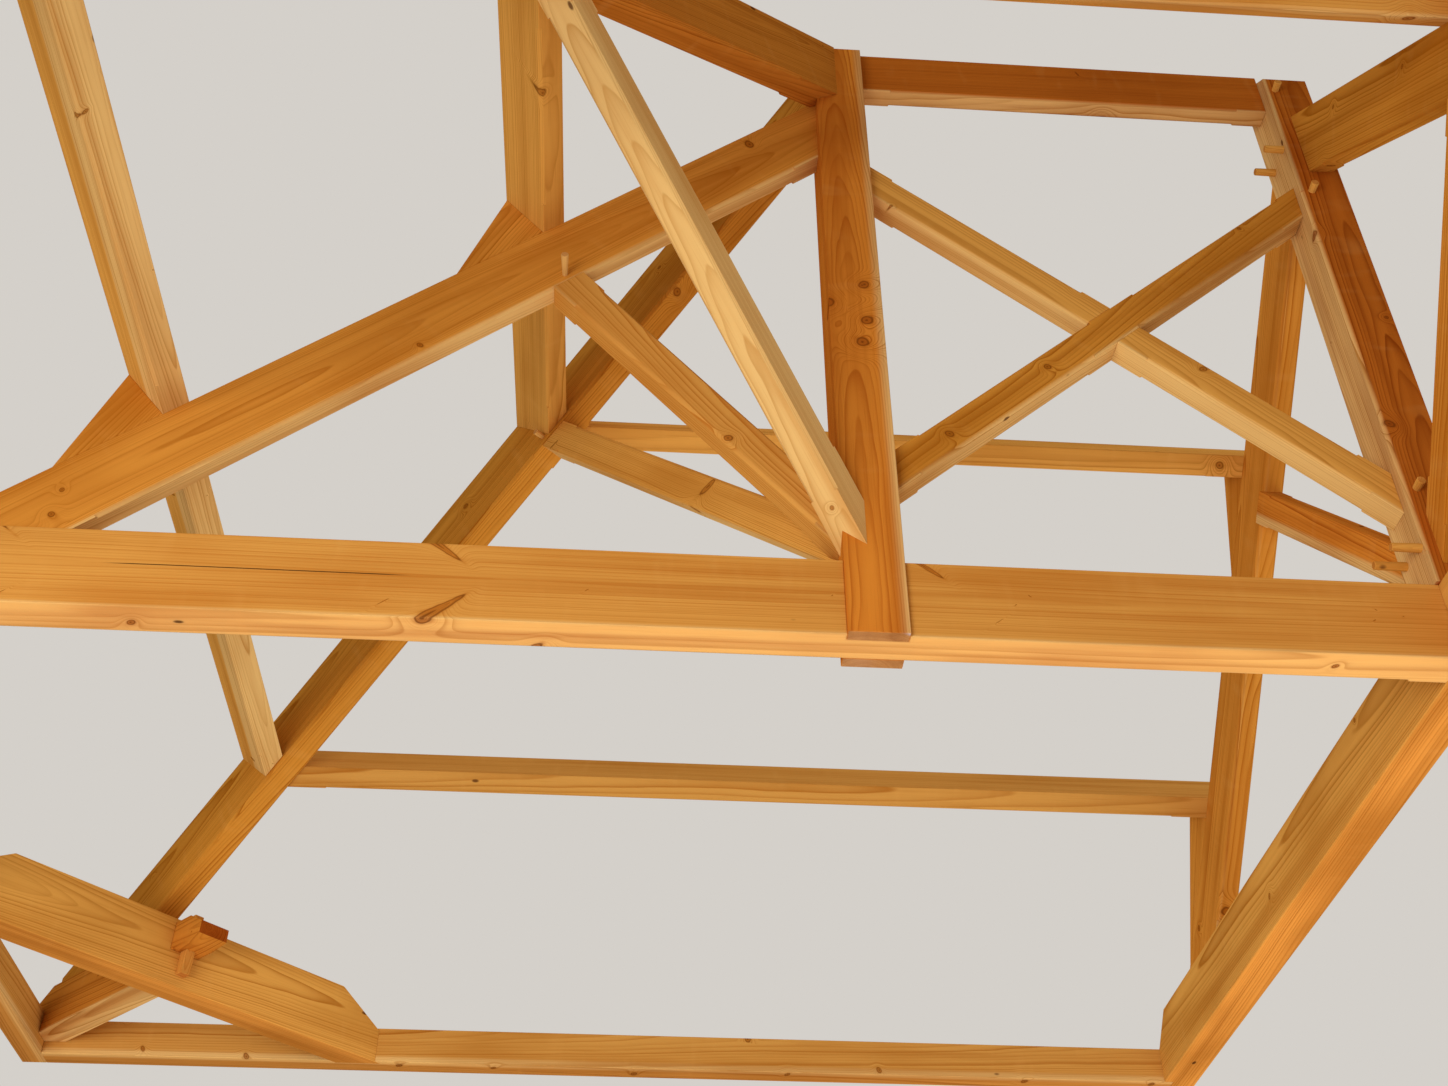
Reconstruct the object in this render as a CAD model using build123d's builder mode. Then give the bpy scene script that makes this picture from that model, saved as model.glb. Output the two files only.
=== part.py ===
from build123d import *
import math
import os

# A timber roof frame with one hipped end, standing on its tie beams and wall plates.
# X runs along the ridge towards the gable, Y across the roof, Z up. The origin is the axis of the
# king post at the underside of the tie beam.

# The roof's shape
pitch = 40.5                # slope of all three roof sides, degrees
half_span = 3593            # ridge line to the outer face of a wall plate
bay = 1970                  # king post axis to gable post axis
plate_height = 165
plate_width = 115

# Section sizes of the timbers
tie_depth = 300
tie_width = 140
tie_offset = -10            # the tie beam's mid-line lies a little in front of the post's
gable_tie_width = 160
post_length = 200           # king post along the ridge
post_width = 196            # both posts across the ridge
gable_post_length = 188
principal_width = 80
gable_principal_width = 90
gable_principal_offset = 15  # the gable's principal rafters lie a little outside the post's axis
principal_depth = 280
strut_width = 100
strut_depth = 140
hip_width = 120
hip_depth = 290
hip_strut_width = 110
hip_strut_depth = 137
ridge_width = 80
ridge_depth = 248
brace_width = 100
brace_depth = 138
purlin_width = 100
purlin_depth = 245
corner_tie_width = 150
dragon_width = 145
dragon_depth = 224

# Where the timbers meet
strut_apex = 371            # height at which a strut's mid-line would meet the post's axis
hip_strut_apex = 370
hip_strut_rise = 0.9565     # rise of a hip strut for each unit of run
brace_low = 729             # a brace's mid-line on a post's face, lower end
brace_high = 2315           # and upper end
ridge_drop = 15             # the ridge beam's top arrises lie this far below the roof surface
post_top_drop = 8           # the king post's top lies this far below the roof surface
gable_post_top_drop = 54
tie_end_drop = 80           # the sloped ends of the ties lie this far inside the roof surface
purlin_shares = (0.33, 0.6713)  # lower arris of each purlin, as a share of the way down the slope
corner_tie_setback = 1101   # along the hip, the plates' inner corner to a corner tie's inner face
dragon_cover = 18           # the dragon beams' tops lie this far below the ties' tops
hip_foot_height = 30        # upright end face of a hip rafter's foot, on its dragon beam

# Joints
tenon_length = 80
tenon_thickness = 40
tenon_inset = 30            # how far a tenon stays inside the depth of its timber
fork_slot = 100             # width of the slot in the king post's forked foot
step_depth = 55             # square step of a rafter's foot, sunk into the tie
housing = 25                # how far the ties are let into the wall plates
plate_housing = 45          # how far the wall plates are let into the gable tie
through_tenon_height = 127
through_tenon_reach = 205   # how far the dragon tenon stands out of the corner tie
through_tenon_bevel = 100
tip_drop = 54               # the bevel's fall to the tenon's end face
tip_lift = 13
wedge_length = 270
wedge_thickness = 45
wedge_top_width = 60
wedge_foot_width = 40
wedge_above_tenon = 38
cleat_height = 240
cleat_lengths = {"hip": (405, 405), "gable": (450, 740)}
chamfer_leg = 11
chamfer_stop = 130
hip_tenon_inset = 6         # the tenon at a hip strut's head, at its lower side

# Pegs: across the corners at the head and at the tail
principal_peg = (30, 14)
gable_peg = (40, 32)
cross_peg = (34, 16)
hip_peg = (28, 15)
principal_peg_ends = (100, 25)      # how far the head and the tail stand out
cross_peg_ends = (45, 20)
hip_peg_ends = (45, 31)
gable_peg_head = 18
principal_peg_place = (16, 35)      # up the rafter from its strut's mid-line, and into its depth
hip_peg_place = (60, 48)
# through the gable post along the ridge: side, inset from that side's face, height above the
# pinned timber's mid-line, and how far the tail stands out
rafter_pins = ((-1, 31, -7, 80), (1, 53, -18, 88))
strut_pins = ((-1, 26, -24, 104), (1, 53, -12, 116))
# across the ridge through the gable post: off the tenon's middle, and off the mid-line
ridge_pin = (-3, -45)
high_brace_pin = (3, 15)
low_brace_pin = (4, -17)

# Derived lines. A run is a level distance from the ridge line; heights are above the floor.
slope = math.tan(math.radians(pitch))
lean = math.cos(math.radians(pitch))
sink = math.sin(math.radians(pitch))
roof_apex = plate_height + half_span * slope
back_apex = roof_apex - purlin_depth / lean
under_apex = back_apex - principal_depth / lean
cut_apex = roof_apex - tie_end_drop / lean
hip_slope = slope / math.sqrt(2)
hip_lean = math.cos(math.atan(hip_slope))
hip_apex = roof_apex - hip_slope * hip_width / 2
hip_under_apex = hip_apex - hip_depth / hip_lean
plate_inner = half_span - plate_width
dragon_top = tie_depth - dragon_cover
dragon_bottom = dragon_top - dragon_depth
corner_tie_run = plate_inner * math.sqrt(2) - corner_tie_setback
corner_tie_outer = corner_tie_run + corner_tie_width
gable_left = bay - gable_post_length / 2
far_reach = half_span * 1.5
purlin_runs = [share * half_span for share in purlin_shares]
ridge_top = roof_apex - slope * ridge_width / 2 - ridge_drop


def upright(angle, x=0.0):
    """Vertical plane through (x, 0): first axis outward at a compass angle, second axis up."""
    a = math.radians(angle)
    return Plane(origin=(x, 0, 0), x_dir=(math.cos(a), math.sin(a), 0),
                 z_dir=(math.sin(a), -math.cos(a), 0))


def slab(plane, points, width, mode=Mode.ADD):
    """Extrude a closed outline drawn on a plane, half the width to each side of it."""
    with BuildSketch(plane) as outline:
        with BuildLine():
            Polyline(*points, close=True)
        make_face()
    extrude(outline.sketch, amount=width / 2, both=True, mode=mode)


def block(x, y, z, mode=Mode.ADD):
    """Box between two limits on each axis."""
    with Locations(((x[0] + x[1]) / 2, (y[0] + y[1]) / 2, (z[0] + z[1]) / 2)):
        Box(x[1] - x[0], y[1] - y[0], z[1] - z[0], mode=mode)


def stopped_chamfer(start, end, out):
    """Stopped chamfer between two points of an arris; out points away from the timber."""
    run = Vector(*end) - Vector(*start)
    with BuildSketch(Plane(origin=start, x_dir=out, z_dir=run)) as tool:
        Rectangle(chamfer_leg * math.sqrt(2), chamfer_leg * math.sqrt(2))
    extrude(tool.sketch, amount=run.length, mode=Mode.SUBTRACT)


def chamfer_side(plane, start, end, width):
    """Stopped chamfers on both arrises of a side; the timber lies to the left of start-end."""
    way = Vector(end[0] - start[0], end[1] - start[1]).normalized()
    first = (start[0] + way.X * chamfer_stop, start[1] + way.Y * chamfer_stop)
    last = (end[0] - way.X * chamfer_stop, end[1] - way.Y * chamfer_stop)
    out = plane.x_dir * way.Y - plane.y_dir * way.X
    for side in (-1, 1):
        stopped_chamfer(plane.from_local_coords((*first, side * width / 2)),
                        plane.from_local_coords((*last, side * width / 2)), out + plane.z_dir * side)


def trim_above(apex, rise_over_run, angles, x=0.0):
    """Cut away all that lies above roof slopes falling outward at the given compass angles."""
    for angle in angles:
        top = apex + far_reach
        slab(upright(angle, x), [(-far_reach, top + rise_over_run * far_reach),
                                 (-far_reach, apex + rise_over_run * far_reach),
                                 (far_reach, apex - rise_over_run * far_reach),
                                 (far_reach, top + rise_over_run * far_reach)],
             4 * far_reach, Mode.SUBTRACT)


def line(apex, rise_over_run, run):
    """Height of a sloping line at a run from the ridge line."""
    return apex + rise_over_run * run


def peg(origin, direction, length, head, tail):
    """Eight-sided tapered peg, driven from its origin along a direction."""
    taper = math.degrees(math.atan((head - tail) / 2 / length))
    with BuildSketch(Plane(origin=origin, z_dir=direction)) as section:
        RegularPolygon(head / 2, 8)
    extrude(section.sketch, amount=length, taper=taper)


def principal(plane, post_face, width=principal_width):
    """Principal rafter from a post's face down to a stepped foot in the tie."""
    foot_low = (under_apex - tie_depth) / slope
    foot_high = (back_apex - tie_depth) / slope
    step = (foot_high - step_depth * sink, tie_depth - step_depth * lean)
    slab(plane, [(post_face, line(under_apex, -slope, post_face)), (foot_low, tie_depth), step,
                 (foot_high, tie_depth), (post_face, line(back_apex, -slope, post_face))], width)
    stub_tenon(plane, post_face, line(under_apex, -slope, post_face),
               line(back_apex, -slope, post_face))
    chamfer_side(plane, (post_face, line(under_apex, -slope, post_face)), (foot_low, tie_depth), width)


def stub_tenon(plane, face, low, high):
    """Tenon from a timber's shoulder on a post's face towards the post's axis."""
    slab(plane, [(face, low + tenon_inset), (face, high - tenon_inset),
                 (face - tenon_length, high - tenon_inset),
                 (face - tenon_length, low + tenon_inset)], tenon_thickness)


def strut(plane, post_face):
    """Strut from a post's face, square up to the underside of a principal rafter."""
    rise = 1 / slope
    half = strut_depth / 2 / sink
    head = (under_apex - strut_apex) / (slope + rise)
    centre = (head, line(under_apex, -slope, head))
    across = (lean * strut_depth / 2, -sink * strut_depth / 2)
    low_head = (centre[0] + across[0], centre[1] + across[1])
    high_head = (centre[0] - across[0], centre[1] - across[1])
    low_foot = (post_face, line(strut_apex, rise, post_face) - half)
    high_foot = (post_face, line(strut_apex, rise, post_face) + half)
    slab(plane, [low_foot, low_head, high_head, high_foot], strut_width)
    stub_tenon(plane, post_face, low_foot[1], high_foot[1])
    chamfer_side(plane, low_foot, low_head, strut_width)
    chamfer_side(plane, high_head, high_foot, strut_width)
    inner = 1 - 2 * tenon_inset / strut_depth
    reach = (sink * tenon_length, lean * tenon_length)
    slab(plane, [(centre[0] + across[0] * inner, centre[1] + across[1] * inner),
                 (centre[0] + across[0] * inner + reach[0], centre[1] + across[1] * inner + reach[1]),
                 (centre[0] - across[0] * inner + reach[0], centre[1] - across[1] * inner + reach[1]),
                 (centre[0] - across[0] * inner, centre[1] - across[1] * inner)], tenon_thickness)


def purlin_outline(run):
    """Section of a purlin, square to the slope, standing on the principal rafters' backs."""
    low = (run, line(back_apex, -slope, run))
    return [low, (low[0] + sink * purlin_depth, low[1] + lean * purlin_depth),
            (low[0] + sink * purlin_depth - lean * purlin_width,
             low[1] + lean * purlin_depth + sink * purlin_width),
            (low[0] - lean * purlin_width, low[1] + sink * purlin_width)]


def cleat(plane, run, length, width):
    """Triangular cleat on a principal rafter's back, against the lower face of a purlin."""
    corner = (run, line(back_apex, -slope, run))
    slab(plane, [corner, (corner[0] + lean * length, corner[1] - sink * length),
                 (corner[0] + sink * cleat_height, corner[1] + lean * cleat_height)], width)


ridge_side = upright(0)             # plane of the ridge, towards the gable
hip_side = upright(180)             # same plane, towards the hipped end
far_hip = upright(135)
gable_far = upright(90, bay)
gable_near = upright(270, bay)
rafter_far = upright(90, bay + gable_principal_offset)
rafter_near = upright(270, bay + gable_principal_offset)

# Tapered pegs that pin the tenons
strut_head = (under_apex - strut_apex) / (slope + 1 / slope)
hip_strut_head = (hip_under_apex - hip_strut_apex) / (hip_strut_rise + hip_slope)
post_side = post_length / 2
post_front = post_width / 2

with BuildPart() as pegs:
    # through the hip principal rafter, head standing out towards the front
    head, tail = principal_peg_ends
    peg((-strut_head - principal_peg_place[0], -principal_width / 2 - head,
         line(under_apex, -slope, strut_head) + principal_peg_place[1]),
        (0, 1, 0), principal_width + head + tail, *principal_peg)
    # through the gable post along the ridge, tails standing out towards the hipped end
    rafter_middle = line((under_apex + back_apex) / 2, -slope, post_front)
    strut_middle = line(strut_apex, 1 / slope, post_front)
    for middle, pins in ((rafter_middle, rafter_pins), (strut_middle, strut_pins)):
        for side, inset, rise, tail in pins:
            peg((gable_left + gable_post_length + gable_peg_head, side * (post_front - inset),
                 middle + rise), (-1, 0, 0), gable_post_length + gable_peg_head + tail, *gable_peg)
    # through the gable post across the ridge, heads standing out towards the front
    head, tail = cross_peg_ends
    for middle, (shift, rise) in ((ridge_top - ridge_depth / 2, ridge_pin),
                                  (brace_high, high_brace_pin), (brace_low, low_brace_pin)):
        peg((gable_left + tenon_length / 2 + shift, -post_front - head, middle + rise), (0, 1, 0),
            post_width + head + tail, *cross_peg)
    # through each hip rafter, where its strut's tenon comes in
    head, tail = hip_peg_ends
    run = hip_strut_head + hip_peg_place[0]
    centre = run / math.sqrt(2)
    out = (hip_width / 2 + head) / math.sqrt(2)
    for side in (-1, 1):
        peg((-centre - out, side * (centre - out),
             line(hip_under_apex, -hip_slope, run) + hip_peg_place[1]),
            (1, side, 0), hip_width + head + tail, *hip_peg)

# The strut in the plane of the main truss and the principal rafter above it
with BuildPart() as hip_principal_strut:
    strut(hip_side, post_side)
    add(pegs.part, mode=Mode.SUBTRACT)

with BuildPart() as hip_principal_rafter:
    principal(hip_side, post_side)
    add(hip_principal_strut.part, mode=Mode.SUBTRACT)
    add(pegs.part, mode=Mode.SUBTRACT)

# Struts below the hip rafters, their feet cut in a V over the post's corner
post_corner = math.hypot(post_side, post_front)


def corner_tenon(low_apex, rise_over_run, high_apex):
    """Tenon from a diagonal timber into the corner of the king post."""
    low = line(low_apex, rise_over_run, post_corner) + tenon_inset
    high = line(high_apex, rise_over_run, post_corner) - tenon_inset
    start = post_corner - tenon_length * 0.8
    slab(far_hip, [(start, low), (post_corner, low), (post_corner, high), (start, high)],
         tenon_thickness)


hip_strut_half = hip_strut_depth / 2 * math.hypot(1, hip_strut_rise)

with BuildPart() as hip_strut_far:
    low_head = (hip_under_apex - hip_strut_apex + hip_strut_half) / (hip_strut_rise + hip_slope)
    high_head = (hip_under_apex - hip_strut_apex - hip_strut_half) / (hip_strut_rise + hip_slope)
    slab(far_hip, [(0, hip_strut_apex - hip_strut_half),
                   (low_head, line(hip_under_apex, -hip_slope, low_head)),
                   (high_head, line(hip_under_apex, -hip_slope, high_head)),
                   (0, hip_strut_apex + hip_strut_half)], hip_strut_width)
    inner_low = low_head - hip_tenon_inset
    inner_high = high_head + tenon_inset * 1.3
    push = tenon_length * math.sin(math.atan(hip_slope))
    lift = tenon_length * hip_lean
    slab(far_hip, [(inner_low, line(hip_under_apex, -hip_slope, inner_low)),
                   (inner_low + push, line(hip_under_apex, -hip_slope, inner_low) + lift),
                   (inner_high + push, line(hip_under_apex, -hip_slope, inner_high) + lift),
                   (inner_high, line(hip_under_apex, -hip_slope, inner_high))], tenon_thickness)
    chamfer_side(far_hip, (post_corner, line(hip_strut_apex, hip_strut_rise, post_corner) - hip_strut_half),
                 (low_head, line(hip_under_apex, -hip_slope, low_head)), hip_strut_width)
    chamfer_side(far_hip, (high_head, line(hip_under_apex, -hip_slope, high_head)),
                 (post_corner, line(hip_strut_apex, hip_strut_rise, post_corner) + hip_strut_half),
                 hip_strut_width)
    block((-post_side, post_side), (-post_front, post_front), (0, roof_apex), Mode.SUBTRACT)
    corner_tenon(hip_strut_apex - hip_strut_half, hip_strut_rise, hip_strut_apex + hip_strut_half)
    add(hip_principal_strut.part, mode=Mode.SUBTRACT)
    add(pegs.part, mode=Mode.SUBTRACT)

# Hip rafters, housed over the post's corner and standing on the dragon beams
with BuildPart() as hip_rafter_far:
    hip_toe = (hip_under_apex - dragon_top) / hip_slope
    hip_end = (hip_apex - dragon_top - hip_foot_height) / hip_slope
    slab(far_hip, [(0, hip_under_apex), (hip_toe, dragon_top), (hip_end, dragon_top),
                   (hip_end, line(hip_apex, -hip_slope, hip_end)), (0, hip_apex)], hip_width)
    under = [(run, line(hip_under_apex, -hip_slope, run))
             for run in (post_corner * 1.5, hip_strut_head, hip_toe)]
    chamfer_side(far_hip, under[0], under[1], hip_width)
    chamfer_side(far_hip, under[1], under[2], hip_width)
    block((-post_side, post_side), (-post_front, post_front), (0, roof_apex * 1.1), Mode.SUBTRACT)
    corner_tenon(hip_under_apex, -hip_slope, hip_apex)
    add(hip_principal_rafter.part, mode=Mode.SUBTRACT)
    add(hip_strut_far.part, mode=Mode.SUBTRACT)
    add(pegs.part, mode=Mode.SUBTRACT)

# Ridge beam and the crossed braces below it
with BuildPart() as ridge_beam:
    block((post_side, gable_left), (-ridge_width / 2, ridge_width / 2),
          (ridge_top - ridge_depth, ridge_top))
    block((post_side - tenon_length, gable_left + tenon_length),
          (-tenon_thickness / 2, tenon_thickness / 2),
          (ridge_top - ridge_depth + tenon_inset, ridge_top - tenon_inset))
    chamfer_side(ridge_side, (post_side, ridge_top - ridge_depth),
                 (gable_left, ridge_top - ridge_depth), ridge_width)
    add(pegs.part, mode=Mode.SUBTRACT)

brace_slope = (brace_high - brace_low) / (gable_left - post_side)
brace_half = brace_depth / 2 * math.hypot(1, brace_slope)


def brace_outline(left, right):
    """Outline of a brace between the posts' faces, its mid-line at the two heights."""
    return [(post_side, left - brace_half), (gable_left, right - brace_half),
            (gable_left, right + brace_half), (post_side, left + brace_half)]


def brace(left, right):
    """One brace with a tenon at each end and chamfered arrises, clear of the crossing."""
    slab(ridge_side, brace_outline(left, right), brace_width)
    stub_tenon(ridge_side, post_side, left - brace_half, left + brace_half)
    stub_tenon(ridge_side, gable_left + tenon_length, right - brace_half, right + brace_half)
    middle = (post_side + gable_left) / 2
    crossing = (left + right) / 2
    low = [(post_side, left - brace_half), (middle, crossing - brace_half),
           (gable_left, right - brace_half)]
    high = [(run, height + 2 * brace_half) for run, height in low]
    for near, far in ((0, 1), (1, 2)):
        chamfer_side(ridge_side, low[near], low[far], brace_width)
        chamfer_side(ridge_side, high[far], high[near], brace_width)


with BuildPart() as cross_brace_back:
    brace(brace_high, brace_low)
    slab(ridge_side.offset(brace_width / 4), brace_outline(brace_low, brace_high),
         brace_width / 2, Mode.SUBTRACT)
    add(pegs.part, mode=Mode.SUBTRACT)

with BuildPart() as cross_brace_front:
    brace(brace_low, brace_high)
    slab(ridge_side.offset(-brace_width / 4), brace_outline(brace_high, brace_low),
         brace_width / 2, Mode.SUBTRACT)
    add(pegs.part, mode=Mode.SUBTRACT)

# The gable truss: struts and principal rafters to both sides of its post
with BuildPart() as gable_strut_far:
    strut(gable_far, post_front)
    add(pegs.part, mode=Mode.SUBTRACT)

with BuildPart() as gable_principal_far:
    principal(rafter_far, post_front, gable_principal_width)
    add(gable_strut_far.part, mode=Mode.SUBTRACT)
    add(pegs.part, mode=Mode.SUBTRACT)

with BuildPart() as gable_strut_near:
    strut(gable_near, post_front)
    add(pegs.part, mode=Mode.SUBTRACT)

with BuildPart() as gable_principal_near:
    principal(rafter_near, post_front, gable_principal_width)
    add(gable_strut_near.part, mode=Mode.SUBTRACT)
    add(pegs.part, mode=Mode.SUBTRACT)

with BuildPart() as hip_strut_near:
    add(mirror(hip_strut_far.part, about=Plane.XZ))

with BuildPart() as hip_rafter_near:
    add(mirror(hip_rafter_far.part, about=Plane.XZ))

# King post: its foot is forked and straddles the tie beam
with BuildPart() as king_post:
    block((-post_side, post_side), (-post_front, post_front), (0, roof_apex))
    trim_above(roof_apex - post_top_drop, slope, (90, 180, 270))
    block((-post_side, post_side), (-fork_slot / 2, fork_slot / 2), (0, tie_depth), Mode.SUBTRACT)
    for timber in (hip_principal_strut, hip_principal_rafter, ridge_beam, cross_brace_back,
                   cross_brace_front, hip_rafter_far, hip_rafter_near, hip_strut_far,
                   hip_strut_near):
        add(timber.part, mode=Mode.SUBTRACT)

with BuildPart() as gable_king_post:
    block((gable_left, gable_left + gable_post_length), (-post_front, post_front),
          (tie_depth, roof_apex))
    block((bay - tenon_thickness, bay + tenon_thickness), (-post_front / 2, post_front / 2),
          (tie_depth - tenon_length, tie_depth))
    trim_above(roof_apex - gable_post_top_drop, slope, (90, 270), bay)
    for side in (-1, 1):
        stopped_chamfer((gable_left, side * post_front, tie_depth + chamfer_stop),
                        (gable_left, side * post_front, line(under_apex, -slope, post_front) - chamfer_stop),
                        (-1, side, 0))
    for timber in (ridge_beam, cross_brace_back, cross_brace_front, gable_strut_far,
                   gable_strut_near, gable_principal_far, gable_principal_near, pegs):
        add(timber.part, mode=Mode.SUBTRACT)

# Tie beam of the main truss, let into the hip end's wall plate and tenoned into the gable tie
with BuildPart() as tie_beam:
    tie_face = bay - gable_tie_width / 2
    tie_front = tie_offset - tie_width / 2
    tie_back = tie_offset + tie_width / 2
    block((-plate_inner - housing, tie_face), (tie_front, tie_back), (0, tie_depth))
    block((tie_face, tie_face + tenon_length),
          (tie_offset - tenon_thickness / 2, tie_offset + tenon_thickness / 2),
          (tie_depth * 0.2, tie_depth * 0.6))
    stopped_chamfer((-plate_inner + chamfer_stop, tie_back, 0), (tie_face - chamfer_stop, tie_back, 0),
                    (0, 1, -1))
    trim_above(cut_apex, slope, (180,))
    add(king_post.part, mode=Mode.SUBTRACT)
    add(hip_principal_rafter.part, mode=Mode.SUBTRACT)

# Wedge keys, upright in the dragon tenons and bearing on the corner ties
with BuildPart() as dragon_wedge_far:
    wedge_top = dragon_top + wedge_above_tenon
    slab(far_hip, [(corner_tie_run, wedge_top - wedge_length), (corner_tie_run, wedge_top),
                   (corner_tie_run - wedge_top_width, wedge_top),
                   (corner_tie_run - wedge_foot_width, wedge_top - wedge_length)], wedge_thickness)

# Dragon beams: a shouldered tenon runs right through the corner tie
with BuildPart() as dragon_beam_far:
    tip = corner_tie_run - through_tenon_reach
    tenon_low = dragon_top - through_tenon_height
    end = half_span * math.sqrt(2)
    slab(far_hip, [(corner_tie_outer, dragon_bottom), (end, dragon_bottom), (end, dragon_top),
                   (tip + through_tenon_bevel, dragon_top), (tip, dragon_top - tip_drop), (tip, tenon_low + tip_lift),
                   (tip + through_tenon_bevel, tenon_low), (corner_tie_outer, tenon_low)], dragon_width)
    block((-half_span, 0), (0, half_span), (0, tie_depth), Mode.INTERSECT)
    block((-half_span, -plate_inner), (0, half_span), (0, plate_height), Mode.SUBTRACT)
    block((-half_span, 0), (plate_inner, half_span), (0, plate_height), Mode.SUBTRACT)
    trim_above(roof_apex, slope, (90, 180))
    add(dragon_wedge_far.part, mode=Mode.SUBTRACT)

# Corner ties, between the hip end's wall plate and the side plates
with BuildPart() as corner_tie_far:
    slab(far_hip, [(corner_tie_run, 0), (corner_tie_outer, 0), (corner_tie_outer, tie_depth),
                        (corner_tie_run, tie_depth)], 4 * half_span)
    keep = plate_inner + housing
    block((-2 * far_reach, -keep), (-far_reach, 2 * far_reach), (-1, tie_depth + 1), Mode.SUBTRACT)
    block((-2 * far_reach, 2 * far_reach), (keep, 2 * far_reach), (-1, tie_depth + 1), Mode.SUBTRACT)
    trim_above(cut_apex, slope, (90, 180))
    add(dragon_beam_far.part, mode=Mode.SUBTRACT)

# Mirror images of the far corner
with BuildPart() as dragon_wedge_near:
    add(mirror(dragon_wedge_far.part, about=Plane.XZ))

with BuildPart() as dragon_beam_near:
    add(mirror(dragon_beam_far.part, about=Plane.XZ))

with BuildPart() as corner_tie_near:
    add(mirror(corner_tie_far.part, about=Plane.XZ))

# Wall plates, half-lapped at the corners and let into the gable tie
with BuildPart() as wall_plate_far:
    block((-half_span, tie_face + plate_housing), (plate_inner, half_span), (0, plate_height))
    block((-half_span, -plate_inner), (plate_inner, half_span), (0, plate_height / 2), Mode.SUBTRACT)
    add(corner_tie_far.part, mode=Mode.SUBTRACT)

with BuildPart() as wall_plate_near:
    add(mirror(wall_plate_far.part, about=Plane.XZ))

with BuildPart() as wall_plate_hip:
    block((-half_span, -plate_inner), (-half_span, half_span), (0, plate_height))
    for timber in (wall_plate_far, wall_plate_near, corner_tie_far, corner_tie_near, tie_beam):
        add(timber.part, mode=Mode.SUBTRACT)

# Tie beam of the gable truss
with BuildPart() as gable_tie_beam:
    block((tie_face, tie_face + gable_tie_width), (-half_span, half_span), (0, tie_depth))
    trim_above(cut_apex, slope, (90, 270), bay)
    for timber in (tie_beam, gable_king_post, gable_principal_far, gable_principal_near,
                   wall_plate_far, wall_plate_near):
        add(timber.part, mode=Mode.SUBTRACT)

# Purlins, square to the slope on the rafters' backs, cut against the sides of the hip rafters
gable_right = gable_left + gable_post_length
under_arris = (lean - sink, -lean - sink)


def side_purlin(run):
    """Purlin of the far slope, from the hip rafter over the gable truss."""
    reach = gable_right + run + purlin_depth
    slab(upright(90, gable_right - reach / 2), purlin_outline(run), reach)
    low = line(back_apex, -slope, run)
    stopped_chamfer((chamfer_stop * 2 - run, run, low), (bay - chamfer_stop * 1.5, run, low),
                    (0, *under_arris))
    split(bisect_by=far_hip.offset(hip_width / 2), keep=Keep.TOP)


def hip_purlin(run):
    """Purlin of the hip slope, between the two hip rafters."""
    slab(hip_side, purlin_outline(run), 2 * (run + purlin_depth))
    low = line(back_apex, -slope, run)
    for side in (-1, 1):
        stopped_chamfer((-run, side * (principal_width / 2 + chamfer_stop), low),
                        (-run, side * (run - hip_width - chamfer_stop), low),
                        (-under_arris[0], 0, under_arris[1]))
    split(bisect_by=far_hip.offset(-hip_width / 2), keep=Keep.BOTTOM)
    split(bisect_by=upright(225).offset(hip_width / 2), keep=Keep.TOP)


with BuildPart() as upper_purlin_far:
    side_purlin(purlin_runs[0])

with BuildPart() as lower_purlin_far:
    side_purlin(purlin_runs[1])

with BuildPart() as upper_purlin_near:
    add(mirror(upper_purlin_far.part, about=Plane.XZ))

with BuildPart() as lower_purlin_near:
    add(mirror(lower_purlin_far.part, about=Plane.XZ))

with BuildPart() as upper_hip_purlin:
    hip_purlin(purlin_runs[0])

with BuildPart() as lower_hip_purlin:
    hip_purlin(purlin_runs[1])

# Triangular cleats that hold the purlins on the slopes
with BuildPart() as purlin_cleats:
    for plane, truss, width in ((hip_side, "hip", principal_width),
                                (rafter_far, "gable", gable_principal_width),
                                (rafter_near, "gable", gable_principal_width)):
        for run, length in zip(purlin_runs, cleat_lengths[truss]):
            cleat(plane, run, length, width)

os.makedirs("parts", exist_ok=True)
timbers = {
    "tie_beam": tie_beam, "king_post": king_post, "gable_king_post": gable_king_post,
    "gable_tie_beam": gable_tie_beam, "hip_principal_rafter": hip_principal_rafter,
    "hip_principal_strut": hip_principal_strut, "hip_rafter_far": hip_rafter_far,
    "hip_rafter_near": hip_rafter_near, "hip_strut_far": hip_strut_far,
    "hip_strut_near": hip_strut_near, "ridge_beam": ridge_beam,
    "cross_brace_front": cross_brace_front, "cross_brace_back": cross_brace_back,
    "gable_principal_far": gable_principal_far, "gable_principal_near": gable_principal_near,
    "gable_strut_far": gable_strut_far, "gable_strut_near": gable_strut_near,
    "upper_purlin_far": upper_purlin_far, "upper_purlin_near": upper_purlin_near,
    "lower_purlin_far": lower_purlin_far, "lower_purlin_near": lower_purlin_near,
    "upper_hip_purlin": upper_hip_purlin, "lower_hip_purlin": lower_hip_purlin,
    "wall_plate_far": wall_plate_far, "wall_plate_near": wall_plate_near,
    "wall_plate_hip": wall_plate_hip, "corner_tie_far": corner_tie_far,
    "corner_tie_near": corner_tie_near, "dragon_beam_far": dragon_beam_far,
    "dragon_beam_near": dragon_beam_near, "dragon_wedge_far": dragon_wedge_far,
    "dragon_wedge_near": dragon_wedge_near, "purlin_cleats": purlin_cleats, "pegs": pegs,
}
for name, timber in timbers.items():
    timber.part.label = name
    export_step(timber.part, f"parts/{name}.step")
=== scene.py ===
# %% [markdown]
# # A jointed roof truss in planed softwood
# Thirty-four timbers and fittings, drawn to size elsewhere, are taken in as a fixed frame. This
# lesson gives each one what the drawing leaves out: softened edges, growth rings that run the
# length of the log, knots, a drying check, a tone of its own, and the light that shows them.
import math

import bmesh
import bpy
from mathutils import Matrix, Vector


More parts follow.
